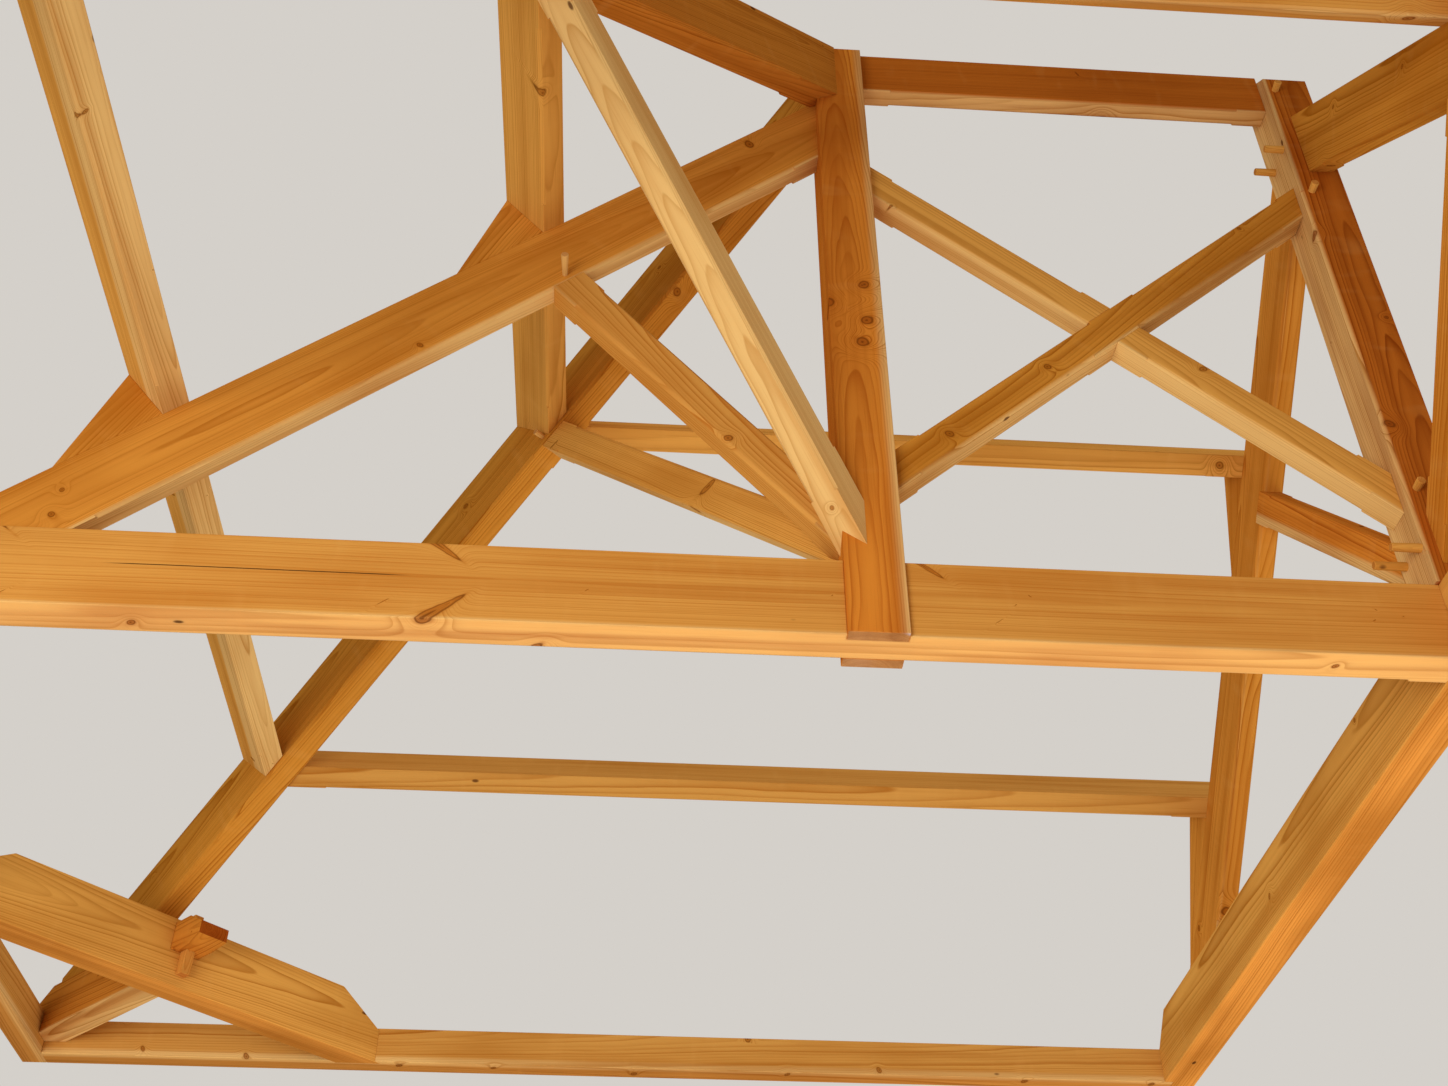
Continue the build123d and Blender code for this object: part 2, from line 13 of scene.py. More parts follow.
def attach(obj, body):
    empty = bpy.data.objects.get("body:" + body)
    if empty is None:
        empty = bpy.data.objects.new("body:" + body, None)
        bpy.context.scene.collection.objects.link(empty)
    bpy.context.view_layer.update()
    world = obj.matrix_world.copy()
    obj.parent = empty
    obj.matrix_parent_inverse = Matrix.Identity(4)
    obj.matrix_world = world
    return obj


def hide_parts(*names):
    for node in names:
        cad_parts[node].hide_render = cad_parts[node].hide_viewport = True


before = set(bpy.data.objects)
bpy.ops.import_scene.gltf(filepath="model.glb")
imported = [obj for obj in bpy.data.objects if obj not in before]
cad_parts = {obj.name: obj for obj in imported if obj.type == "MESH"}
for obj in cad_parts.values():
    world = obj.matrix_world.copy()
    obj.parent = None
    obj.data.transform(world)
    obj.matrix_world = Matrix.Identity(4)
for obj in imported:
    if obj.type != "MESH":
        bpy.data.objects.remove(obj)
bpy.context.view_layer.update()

# %% [markdown]
# ## Where each timber's log lay
# A beam is a slice of a trunk. Its rings are only right if the shader knows which way the trunk
# ran and where its centre, the pith, was. So each timber is listed with the direction of its
# grain, a direction across it that counts as up, the pith's place beside its middle, and its tone.
# A pith outside the section gives wide flames on the face next to it and straight lines on the
# sides; a pith inside gives a boxed heart, with arcs on the end.

# %% The list of timbers
pitch = math.radians(40.5)
roof_fall = Vector((math.cos(pitch), 0, math.sin(pitch)))
gable_rise = math.tan(pitch)
hip_rise = 0.6039            # a hip rafter's rise for each unit of run, and the struts' below
hip_strut_rise = 0.9565
strut_rise = 1.171
brace_run, brace_rise = 1776, 1586
half = math.sqrt(0.5)
no_sapwood = 9.0             # a sapwood that begins nine metres from the pith is never reached
X, Y, Z = Vector((1, 0, 0)), Vector((0, 1, 0)), Vector((0, 0, 1))


def leaning(x, y, rise):
    return Vector((x, y, rise)).normalized()


# name: (grain direction, up, pith across and up from the middle, ring width, where the pale
# sapwood begins, all in metres, then tone and slot). Without a direction, each of the node's
# small pieces finds its own.
timbers = {
    "tie_beam": (X, Z, (-0.050, 0.012), 0.0110, 0.155, "tie", "tie_timber"),
    "gable_tie_beam": (Y, Z, (-0.16, 0.10), 0.008, no_sapwood, "khaki", "tie_timber"),
    "corner_tie_far": (leaning(1, 1, 0), Z, (-0.21, 0.03), 0.008, 0.36, "khaki", "tie_timber"),
    "corner_tie_near": (leaning(1, -1, 0), Z, (0.21, 0.03), 0.008, 0.36, "khaki", "tie_timber"),
    "king_post": (Z, Y, (-0.03, 0.13), 0.0045, 0.250, "post", "post_timber"),
    "gable_king_post": (Z, Y, (0.05, 0.12), 0.0065, no_sapwood, "red", "post_timber"),
    "hip_principal_rafter": (roof_fall, Z, (0.10, 0.012), 0.0072, no_sapwood, "warm",
                             "rafter_timber"),
    "hip_rafter_far": (leaning(half, -half, hip_rise), Z, (0.10, 0.09), 0.0075, no_sapwood,
                       "amber", "rafter_timber"),
    "hip_rafter_near": (leaning(half, half, hip_rise), Z, (-0.10, 0.09), 0.0075, no_sapwood,
                        "brown", "rafter_timber"),
    "gable_principal_far": (leaning(0, -1, gable_rise), Z, (0.09, 0.13), 0.009, 0.285,
                            "warm", "rafter_timber"),
    "gable_principal_near": (leaning(0, 1, gable_rise), Z, (-0.09, 0.13), 0.009, no_sapwood,
                             "amber", "rafter_timber"),
    "ridge_beam": (X, Z, (-0.06, 0.14), 0.008, no_sapwood, "red", "rafter_timber"),
    "upper_purlin_far": (X, Z, (0.08, 0.16), 0.007, no_sapwood, "khaki", "rafter_timber"),
    "upper_purlin_near": (X, Z, (-0.08, 0.16), 0.008, 0.30, "tie", "rafter_timber"),
    "lower_purlin_far": (X, Z, (0.08, 0.16), 0.007, no_sapwood, "plate", "rafter_timber"),
    "lower_purlin_near": (X, Z, (-0.08, 0.16), 0.008, 0.27, "plate", "rafter_timber"),
    "upper_hip_purlin": (Y, Z, (0.11, 0.09), 0.008, 0.30, "khaki", "rafter_timber"),
    "lower_hip_purlin": (Y, Z, (-0.12, -0.10), 0.009, 0.24, "khaki", "rafter_timber"),
    "purlin_cleats": (None, Z, (0.10, 0.08), 0.008, 0.30, "warm", "rafter_timber"),
    "hip_principal_strut": (leaning(-1, 0, strut_rise), Y, (0.06, 0.13), 0.007, 0.23, "tie",
                            "brace_timber"),
    "hip_strut_far": (leaning(-half, half, hip_strut_rise), Z, (0.09, 0.13), 0.0065, 0.215,
                      "khaki", "brace_timber"),
    "hip_strut_near": (leaning(-half, -half, hip_strut_rise), Z, (0.02, 0.17), 0.0045, 0.21,
                       "pale", "brace_timber"),
    "cross_brace_front": (leaning(brace_run, 0, brace_rise), Y, (-0.07, 0.12), 0.008, no_sapwood,
                          "amber", "brace_timber"),
    "cross_brace_back": (leaning(brace_run, 0, -brace_rise), Y, (0.06, 0.13), 0.008, no_sapwood,
                         "khaki", "brace_timber"),
    "gable_strut_far": (leaning(0, 1, strut_rise), X, (0.09, 0.10), 0.008, 0.20, "post",
                        "brace_timber"),
    "gable_strut_near": (leaning(0, -1, strut_rise), X, (0.08, 0.10), 0.008, 0.20, "warm",
                         "brace_timber"),
    "wall_plate_far": (X, Z, (0.10, 0.10), 0.009, 0.22, "plate", "plate_timber"),
    "wall_plate_near": (X, Z, (-0.10, 0.10), 0.009, 0.22, "plate", "plate_timber"),
    "wall_plate_hip": (Y, Z, (0.10, 0.10), 0.009, 0.22, "plate", "plate_timber"),
    "dragon_beam_far": (leaning(-1, 1, 0), Z, (0.03, 0.05), 0.010, 0.16, "brown",
                        "plate_timber"),
    "dragon_beam_near": (leaning(-1, -1, 0), Z, (0.03, 0.05), 0.010, 0.16, "brown",
                         "plate_timber"),
    "pegs": (None, Z, (0.03, 0.02), 0.004, 0.5, "straw", "peg_timber"),
    "dragon_wedge_far": (Z, X, (0.04, 0.03), 0.006, 0.5, "tie", "peg_timber"),
    "dragon_wedge_near": (Z, X, (0.04, 0.03), 0.006, 0.5, "tie", "peg_timber"),
}
print(len(timbers), "timbers listed, none missing:", sorted(timbers) == sorted(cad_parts))

# %% [markdown]
# ## What sets single logs apart
# Most knots can fall where chance puts them, but a few are what the eye remembers of a beam, such
# as the pair of spike knots that meet across the tie beam. Those are given one by one, at most
# three to a log. Some logs also have calmer rings, a straighter pith, a pale side that is partly
# sapwood and partly painted light, a long crack from drying, or an end that was cut fresh.

# %% Landmarks and habits
# places on the finished faces in metres, and sizes against a usual knot
landmarks = {
    "tie_beam": (((-1.335, -0.07, 0.235), 1.9), ((-1.340, -0.07, 0.071), 1.7),
                 ((0.240, -0.07, 0.230), 1.2)),
    "king_post": (((0.039, -0.098, 1.625), 0.8), ((0.036, -0.098, 1.428), 1.1),
                  ((0.014, -0.098, 1.312), 1.2)),
    "hip_strut_near": (((-0.137, -0.145, 0.466), 0.3),),
    "hip_principal_rafter": (((-2.662, -0.04, 0.492), 0.7), ((-1.585, -0.04, 1.247), 0.6)),
}
# how far a log's branches climb for each unit outward, how strongly its rings stand out, how
# much its pith strays, and how many knots it has
character = {
    "tie_beam": {"Lean": -1.30, "Contrast": 0.55, "Drift": 0.30},
    "hip_principal_rafter": {"Lean": 0.20, "Contrast": 0.50, "Knots": 0.15},
    "king_post": {"Contrast": 0.95},
    "hip_strut_near": {"Knots": 0.0, "Contrast": 0.60},
    "corner_tie_far": {"Contrast": 0.80},
    "corner_tie_near": {"Contrast": 0.80},
    "gable_king_post": {"Contrast": 1.10},
    "gable_tie_beam": {"Drift": 0.40},
    "lower_purlin_far": {"Drift": 0.35, "Contrast": 0.70},
    "upper_purlin_far": {"Drift": 0.35, "Contrast": 0.70},
}
# along the log: the middle of a crack and half its length
checks = {"tie_beam": (-1.20, 0.50)}
# a pale band on one side, partly sapwood and partly painted light: it lightens undersides and the
# gable post's left face, where light falls from below and from the left. Given as the centre and
# the radius of its inner edge
sapwood_and_lit_sides = {
    "hip_principal_rafter": (0.0, 0.9, 1.014),
    "ridge_beam": (0.0, 0.9, 1.018),
    "hip_strut_near": (0.0, 0.9, 0.70),
    "lower_hip_purlin": (0.9, 0.9, 1.28),
    "gable_king_post": (0.9, 0.0, 0.988),
    "cross_brace_front": (-0.9, 0.0, 0.959),
    "cross_brace_back": (-0.9, 0.0, 0.959),
}
# what a cut end does to the colour, where it isn't the usual darkening
ends = {"king_post": (0.74, 1.20, 4.00), "dragon_beam_far": (0.55, 0.26, 0.16)}
print(sum(len(spots) for spots in landmarks.values()), "knots are placed by hand")

# %% [markdown]
# ## Wood as arithmetic
# One node group holds everything that softwood does. It could be painted on instead, but a
# painted grain ends at each edge, and a computed one runs on round the corner as real grain does.
# Such a group is long, so a small class writes its nodes: each call adds one and gives back its
# output, and a value that is itself an output is linked instead of set.

# %% Small helpers for wiring the shader


class Wiring:
    """Adds nodes to a tree, each call giving back the new node's first output."""

    def __init__(self, tree):
        self.tree = tree

    def add(self, kind, inputs, output=0, **settings):
        node = self.tree.nodes.new(kind)
        for name, value in settings.items():
            setattr(node, name, value)
        for key, value in inputs.items():
            self.put(node.inputs[key], value)
        return node.outputs[output]

    def put(self, socket, value):
        if isinstance(value, bpy.types.NodeSocket):
            self.tree.links.new(value, socket)
        else:
            socket.default_value = value

    def math(self, operation, *values, clamp=False):
        return self.add("ShaderNodeMath", dict(enumerate(values)), operation=operation,
                        use_clamp=clamp)

    def vector(self, operation, *values):
        output = "Value" if operation in ("DOT_PRODUCT", "LENGTH") else 0
        return self.add("ShaderNodeVectorMath", dict(enumerate(values)), output,
                        operation=operation)

    def noise(self, position, scale, detail=2.0, rough=0.5, output="Fac"):
        return self.add("ShaderNodeTexNoise", {"Vector": position, "Scale": scale,
                        "Detail": detail, "Roughness": rough}, output)

    def step(self, value, low, high, to_low=0.0, to_high=1.0):
        return self.add("ShaderNodeMapRange", {"Value": value, "From Min": low, "From Max": high,
                        "To Min": to_low, "To Max": to_high}, interpolation_type="SMOOTHSTEP")

    def blend(self, share, first, second, blend_type="MIX"):
        return self.add("ShaderNodeMix", {0: share, 6: first, 7: second}, 2,
                        data_type="RGBA", blend_type=blend_type)

    def join(self, x, y, z):
        return self.add("ShaderNodeCombineXYZ", {0: x, 1: y, 2: z})

    def split(self, vector):
        return self.add("ShaderNodeSeparateXYZ", {0: vector}).node.outputs

    def reach(self, y, z):
        """How far a point lies from the origin of a plane."""
        return self.math("SQRT", self.math("ADD", self.math("MULTIPLY", y, y),
                                           self.math("MULTIPLY", z, z)))


wood = bpy.data.node_groups.new("softwood", "ShaderNodeTree")
for name, kind, value in (("Early", "NodeSocketColor", (0.6, 0.35, 0.13, 1)),
                          ("Late", "NodeSocketColor", (0.4, 0.16, 0.04, 1)),
                          ("Deep", "NodeSocketColor", (0.3, 0.10, 0.02, 1)),
                          ("Pith", "NodeSocketVector", (0, 0.1, 0.1)),
                          ("Ring", "NodeSocketFloat", 0.011),
                          ("Sapwood and lit side", "NodeSocketVector", (0, 0, 9)),
                          ("First knot", "NodeSocketVector", (50, 0, 1)),
                          ("Second knot", "NodeSocketVector", (50, 0, 1)),
                          ("Third knot", "NodeSocketVector", (50, 0, 1)),
                          ("Lean", "NodeSocketFloat", 0.45),
                          ("Contrast", "NodeSocketFloat", 0.85),
                          ("Drift", "NodeSocketFloat", 1.0),
                          ("Check", "NodeSocketVector", (99, 0, 0)),
                          ("End", "NodeSocketColor", (0.78, 0.62, 0.60, 1)),
                          ("Knots", "NodeSocketFloat", 0.5),
                          ("Seed", "NodeSocketFloat", 0.0)):
    socket = wood.interface.new_socket(name, in_out="INPUT", socket_type=kind)
    socket.default_value = value
for name, kind in (("Colour", "NodeSocketColor"), ("Roughness", "NodeSocketFloat"),
                   ("Height", "NodeSocketFloat")):
    wood.interface.new_socket(name, in_out="OUTPUT", socket_type=kind)
w = Wiring(wood)
given = wood.nodes.new("NodeGroupInput").outputs
print("the softwood group takes", len(given) - 1, "values")

# %% [markdown]
# ## Round the pith
# The group reads a position inside the log, in metres, with the grain along the first axis.
# Everything else follows from three numbers: how far a point is from the pith, at what angle
# round it, and how far along the log. A real pith is never quite straight, so slow noise bends it
# first, and a finer one keeps the rings from being perfect circles.

# %% Distance, angle and height in the log
wander = 0.075               # the band in which the pith strays
unevenness = 0.009           # the same for the ripple of the rings

place = w.add("ShaderNodeAttribute", {}, "Vector", attribute_name="grain")
shift = w.add("ShaderNodeVectorMath", {0: (3.1, 1.7, 2.3), "Scale": given["Seed"]},
              operation="SCALE")
here = w.vector("ADD", place, shift)
middle_grey = (0.5, 0.5, 0.5)
slow = w.noise(w.vector("MULTIPLY", here, (0.45, 1.1, 1.1)), 1.0, 1.0, output="Color")
ripple = w.noise(w.vector("MULTIPLY", here, (2.2, 9.0, 9.0)), 1.0, 2.0, output="Color")
bend = w.vector("ADD", w.vector("MULTIPLY", w.vector("SUBTRACT", slow, middle_grey),
                                (0.0, wander, wander)),
                w.vector("MULTIPLY", w.vector("SUBTRACT", ripple, middle_grey),
                         (0.0, unevenness, unevenness)))
drift = w.join(0.0, given["Drift"], given["Drift"])
off_pith = w.vector("SUBTRACT", place, given["Pith"])
part = w.split(w.vector("ADD", off_pith, w.vector("MULTIPLY", bend, drift)))
radius = w.reach(part["Y"], part["Z"])
angle = w.math("ARCTAN2", part["Z"], part["Y"])
climbed = w.math("SUBTRACT", part["X"], w.math("MULTIPLY", radius, given["Lean"]))
print("rings and knots are measured from a pith that strays", wander / 2, "m at most")

# %% [markdown]
# ## Knots
# A knot is a branch that starts at the pith, so its place is a distance along the log and an
# angle round it, and its width grows with the distance from the pith. That one rule makes a round
# knot on the face that looks at the branch's tip and a long spike where the branch lies in the
# face. One knot may fall in each cell of a grid along the log and round it; three can be placed.
# The placed ones are measured from the straight pith, so that they stay where they were put.

# %% The knots
knot_pitch = 0.62            # along the log, between whorls of branches
turns = 1.1                  # cells for each radian round the pith
full_branch = 0.25           # a branch is fully grown this far from the pith
thinnest = 0.002             # no knot is narrower than this
placed_width = 0.085         # of a placed knot of size one, against its distance from the pith
far_away = 99.0              # added where a cell holds no knot
gnarl = w.step(w.noise(here, 16.0, 1.0), 0.25, 0.75, 0.78, 1.30)     # no knot is quite round


def knot_field(along, around, share, size):
    """Four fields of a knot: distance in its own widths, heart, collar, and lift of the rings."""
    distance = w.reach(along, w.math("MULTIPLY", around, radius))
    girth = w.math("MAXIMUM", w.math("MULTIPLY", size, w.math("MINIMUM", radius, full_branch)),
                   thinnest)
    even = w.math("DIVIDE", distance, girth)
    near = w.math("MULTIPLY", even, gnarl)
    heart = w.math("MULTIPLY", w.step(near, 1.16, 0.86), share)
    collar = w.math("MULTIPLY", w.step(near, 1.9, 1.0), share)
    bump = w.math("EXPONENT", w.math("MULTIPLY", w.math("MULTIPLY", even, even), -0.13))
    lift = w.math("MULTIPLY", bump, w.math("MULTIPLY", girth, share))
    return near, heart, collar, lift


cell = w.join(w.math("ADD", w.math("DIVIDE", climbed, knot_pitch),
                     w.math("MULTIPLY", given["Seed"], 3.7)),
              w.math("MULTIPLY", angle, turns), 0.0)
knot = w.add("ShaderNodeTexVoronoi", {"Vector": cell, "Scale": 1.0, "Randomness": 0.95},
             "Position", voronoi_dimensions="2D")
luck = w.add("ShaderNodeSeparateColor", {0: knot.node.outputs["Color"]}).node.outputs
off = w.split(w.vector("SUBTRACT", cell, knot))
present = w.math("LESS_THAN", luck["Red"], given["Knots"])
width = w.math("ADD", 0.020, w.math("MULTIPLY", w.math("POWER", luck["Green"], 1.6), 0.070))
near, inside, collar, swell = knot_field(w.math("MULTIPLY", off["X"], knot_pitch),
                                         w.math("DIVIDE", off["Y"], turns), present, width)
near = w.math("ADD", near, w.math("MULTIPLY", far_away, w.math("SUBTRACT", 1.0, present)))

straight = w.split(off_pith)
straight_angle = w.math("ARCTAN2", straight["Z"], straight["Y"])
straight_climbed = w.math("SUBTRACT", straight["X"], w.math(
    "MULTIPLY", given["Lean"], w.reach(straight["Y"], straight["Z"])))
placed_knots = ("First knot", "Second knot", "Third knot")
for name in placed_knots:
    spot = w.split(given[name])
    field = knot_field(w.math("SUBTRACT", straight_climbed, spot["X"]),
                       w.math("SUBTRACT", straight_angle, spot["Y"]), 1.0,
                       w.math("MULTIPLY", spot["Z"], placed_width))
    near = w.math("MINIMUM", near, field[0])
    inside = w.math("MAXIMUM", inside, field[1])
    collar = w.math("MAXIMUM", collar, field[2])
    swell = w.math("ADD", swell, field[3])

# pin knots: twigs that stayed thin, scattered singly
pin = w.add("ShaderNodeTexVoronoi", {"Vector": w.vector("MULTIPLY", here, (2.1, 4.3, 4.3)),
                                     "Scale": 1.0, "Randomness": 1.0}, "Distance")
pin = w.step(pin, 0.048, 0.026)
print("with its knots the group has", len(wood.nodes), "nodes")

# %% [markdown]
# ## Growth rings
# The distance from the pith is cut into years. In each, pale early wood darkens slowly towards
# late wood and then stops short, as growth stops in winter. Rings bulge round a knot, and a trunk
# thins towards its top, which is why they open into flames along a flat face. Years differ in
# width and in how dark they end.

# %% The rings
bulge = 2.8                  # how far a knot pushes the rings outward, against its width
taper = 0.016                # how much nearer the pith a ring comes for each metre along the log
odd_years = 2.6              # how many years the uneven growth may add or take
knot_years = 3.6             # rings of a branch out to its own edge

bulged = w.math("ADD", radius, w.math("MULTIPLY", swell, bulge))
bulged = w.math("ADD", bulged, w.math("MULTIPLY", w.math("MULTIPLY", part["X"], taper),
                                      given["Drift"]))
weather = w.noise(w.join(0.0, given["Seed"], bulged), 42.0, 1.0)
years = w.math("ADD", w.math("DIVIDE", bulged, given["Ring"]),
               w.math("MULTIPLY", weather, odd_years))
phase = w.math("FRACT", years)
late = w.math("MULTIPLY", w.math("POWER", phase, 3.0), w.step(phase, 1.0, 0.90))
strong = w.noise(w.join(w.math("FLOOR", years), given["Seed"], 0.0), 0.73, 0.0)
late = w.math("MULTIPLY", w.math("MULTIPLY", late, given["Contrast"]),
              w.step(strong, 0.25, 0.75, 0.45, 1.60))
knot_rings = w.math("FRACT", w.math("MULTIPLY", near, knot_years))
late = w.math("ADD", w.math("MULTIPLY", late, w.math("SUBTRACT", 1.0, inside)),
              w.math("MULTIPLY", w.math("MULTIPLY", knot_rings, inside), 0.6))
rim = w.math("MULTIPLY", w.step(near, 0.72, 0.97), w.step(near, 1.30, 1.02))
core = w.step(near, 0.42, 0.12)
print("with its rings the group has", len(wood.nodes), "nodes")

# %% [markdown]
# ## Fibres, a drying check and cut ends
# Noise that is stretched along the log makes fibres and streaks, and an even one makes slow
# clouds of tone. A beam that dries shrinks round its pith more than towards it, so it cracks in
# one plane from the pith to the nearest face: the crack is a narrow range of angles. At a cut end
# the surface looks along the grain, which is how the shader can tell it from a side.

# %% Fibres, crack and ends
fibre = w.noise(w.vector("MULTIPLY", here, (3.0, 190.0, 190.0)), 1.0, 3.0, 0.65)
streak = w.noise(w.vector("MULTIPLY", here, (0.55, 17.0, 17.0)), 1.0, 2.0, 0.5)
cloud = w.noise(w.vector("MULTIPLY", here, (0.9, 3.2, 3.2)), 1.0, 2.0, 0.5)
figure = w.noise(w.vector("MULTIPLY", here, (16.0, 5.0, 5.0)), 1.0, 1.0, 0.5)

check = w.split(given["Check"])
aside = w.math("MULTIPLY", w.math("ABSOLUTE", w.math("SUBTRACT", w.math("ABSOLUTE", angle),
                                                     check["X"])), radius)
beyond = w.math("SUBTRACT", w.math("ABSOLUTE", w.math("SUBTRACT", part["X"], check["Y"])),
                check["Z"])
crack = w.math("MULTIPLY", w.step(aside, 0.0026, 0.0010), w.step(beyond, 0.0, -0.12))

facing = w.add("ShaderNodeNewGeometry", {}, "Normal")
run = w.add("ShaderNodeAttribute", {}, "Vector", attribute_name="run")
end = w.step(w.math("ABSOLUTE", w.vector("DOT_PRODUCT", facing, run)), 0.55, 0.95)
print("with fibres, crack and ends the group has", len(wood.nodes), "nodes")

# %% [markdown]
# ## Colour, laid over in turn
# The outermost wood of a trunk is still alive and pale: the sapwood. The same pale tones are laid
# on some undersides and on the gable post's left face as painted light. Over it and the heartwood
# come the late wood's lines, streaks, clouds and fibres, then the knots with their dark rims, the
# cut ends and at last the crack, whose dark line is painted shade. Roughness and a faint relief
# come from the same fibres.

# %% Colour, roughness and relief
# pale tones of sapwood, also used as painted light on undersides and the gable post's left face
sapwood_and_lit_early, sapwood_and_lit_late = (0.84, 0.57, 0.220, 1), (0.54, 0.27, 0.065, 1)
glow = (0.85, 0.48, 0.14, 1)
knot_red, knot_dark = (0.27, 0.070, 0.008, 1), (0.14, 0.034, 0.004, 1)
# the second of these is the crack's near-black line, painted shade inside the check
pin_dark, crack_painted_shade = (0.10, 0.030, 0.008, 1), (0.035, 0.014, 0.006, 1)

pale_side = w.split(given["Sapwood and lit side"])
spot = w.split(place)
off_pale_side = w.vector("LENGTH", w.join(w.math("SUBTRACT", spot["Y"], pale_side["X"]),
                                    w.math("SUBTRACT", spot["Z"], pale_side["Y"]), 0.0))
# pale: real sapwood, and painted light where the band lies on one side only
pale = w.step(w.math("SUBTRACT", off_pale_side, pale_side["Z"]), -0.006, 0.010, 0.0, 0.80)
early = w.blend(pale, given["Early"], sapwood_and_lit_early)
ring_tone = w.blend(pale, given["Late"], sapwood_and_lit_late)
colour = w.blend(w.math("MULTIPLY", late, 1.0, clamp=True), early, ring_tone)
colour = w.blend(w.step(streak, 0.42, 0.80, 0.0, 0.55), colour, given["Late"])
colour = w.blend(w.step(cloud, 0.45, 0.80, 0.0, 0.60), colour, given["Deep"])
colour = w.blend(w.step(fibre, 0.50, 0.85, 0.0, 0.40), colour, given["Deep"])
colour = w.blend(w.step(figure, 0.55, 0.90, 0.0, 0.10), colour, glow)
colour = w.blend(w.math("MULTIPLY", collar, 0.45), colour, given["Deep"])
colour = w.blend(w.math("MULTIPLY", inside, 0.50), colour,
                 w.blend(knot_rings, given["Deep"], knot_red))
colour = w.blend(w.math("MULTIPLY", w.math("MAXIMUM", rim, core), 0.66), colour, knot_dark)
colour = w.blend(w.math("MULTIPLY", pin, 0.85), colour, pin_dark)
colour = w.blend(w.math("MULTIPLY", end, 0.85), colour,
                 w.blend(1.0, colour, given["End"], "MULTIPLY"))
# the crack is painted near black: painted shade inside the check
colour = w.blend(w.math("MULTIPLY", crack, 0.9), colour, crack_painted_shade)

rough = w.math("ADD", 0.56, w.math("MULTIPLY", fibre, 0.16))
rough = w.math("ADD", rough, w.math("MULTIPLY", late, -0.06))
rough = w.math("ADD", rough, w.math("MULTIPLY", end, 0.25))
height = w.math("SUBTRACT", w.math("MULTIPLY", fibre, 0.6), w.math("MULTIPLY", crack, 3.0))
result = wood.nodes.new("NodeGroupOutput")
for name, value in (("Colour", colour), ("Roughness", rough), ("Height", height)):
    wood.links.new(value, result.inputs[name])
print("the finished group has", len(wood.nodes), "nodes")

# %% [markdown]
# ## Tones
# All the wood is the same species under the same oil, but each log took it differently, and each
# tone also holds some painted light and shade of where the timber stands. The post in the middle
# and the ridge are a deep red brown, the tie beam is orange, and the struts are nearly straw. Each
# tone is three colours: early wood, late wood, and the deep tone of streaks. The oil has sunk in,
# so the surface has no gloss left.

# %% Tones and the material of one timber
# each tone is the log's own colour with painted light and shade of its place mixed in
tones = {
    "tie": ((0.70, 0.340, 0.070), (0.46, 0.140, 0.012), (0.48, 0.145, 0.010)),
    "warm": ((0.74, 0.312, 0.046), (0.43, 0.120, 0.006), (0.42, 0.115, 0.004)),
    "post": ((0.71, 0.252, 0.030), (0.40, 0.090, 0.006), (0.40, 0.088, 0.006)),
    "red": ((0.49, 0.132, 0.013), (0.27, 0.053, 0.004), (0.26, 0.049, 0.004)),
    "khaki": ((0.77, 0.390, 0.080), (0.45, 0.165, 0.018), (0.43, 0.155, 0.014)),
    "plate": ((0.64, 0.320, 0.070), (0.39, 0.130, 0.012), (0.40, 0.135, 0.010)),
    "amber": ((0.63, 0.265, 0.034), (0.37, 0.112, 0.006), (0.36, 0.108, 0.005)),
    "brown": ((0.59, 0.215, 0.027), (0.33, 0.088, 0.006), (0.33, 0.086, 0.006)),
    "pale": ((0.85, 0.480, 0.145), (0.56, 0.220, 0.032), (0.54, 0.200, 0.022)),
    "straw": ((0.84, 0.52, 0.170), (0.62, 0.30, 0.065), (0.54, 0.24, 0.050)),
}
relief = 0.0006              # depth of the fibres in metres


def oiled_timber(name, pith, ring, sapwood, tone, seed, knots, marked):
    """The material of one log. Its name ends in _finish; marked lists its placed knots."""
    material = bpy.data.materials.new(name)
    material.use_nodes = True
    m = Wiring(material.node_tree)
    shader = m.tree.nodes["Principled BSDF"]
    group = m.tree.nodes.new("ShaderNodeGroup")
    group.node_tree = wood
    timber = name.removesuffix("_finish")
    values = {key: (*value, 1) for key, value in zip(("Early", "Late", "Deep"), tones[tone])}
    # the pale band: a timber's own sapwood, or a one-sided band that is painted light
    values.update({"Pith": (0, *pith), "Ring": ring, "Knots": knots, "Seed": seed,
                   "Sapwood and lit side": sapwood_and_lit_sides.get(timber, (*pith, sapwood))})
    values.update(character.get(timber, {}))
    if timber in checks:
        values["Check"] = (math.pi, *checks[timber])
    if timber in ends:
        values["End"] = (*ends[timber], 1)
    for key, value in values.items():
        group.inputs[key].default_value = value
    lean = group.inputs["Lean"].default_value
    for key, (along, across, up, size) in zip(placed_knots, marked):
        across, up = across - pith[0], up - pith[1]
        start = along - lean * math.hypot(across, up)
        group.inputs[key].default_value = (start, math.atan2(up, across), size)
    m.put(shader.inputs["Base Color"], group.outputs["Colour"])
    m.put(shader.inputs["Roughness"], group.outputs["Roughness"])
    m.put(shader.inputs["Normal"], m.add("ShaderNodeBump", {
        "Height": group.outputs["Height"], "Strength": 0.55, "Distance": relief}))
    shader.inputs["Specular IOR Level"].default_value = 0.0
    return material


print(len(tones), "tones mixed")

# %% [markdown]
# ## From the drawing to a planed timber
# A drawn solid has edges of no width, and real arrises are taken off with a pass of the plane, so
# each timber is copied, its loose triangles are merged back into whole faces, and every sharp edge
# is bevelled by a little over two millimetres. Two values then go on each vertex: where it lies in
# its log, and which way the grain runs. Pegs and cleats are many small pieces in one node, so each
# finds its own direction from its longest side. They are sorted by place, because a mesh tool may
# number its vertices differently from run to run, and each piece should keep its stretch of log.

# %% Finding small pieces and their direction
skew = Vector((1.0, 0.37, 0.11))       # not square to any timber: it puts pieces in a fixed order


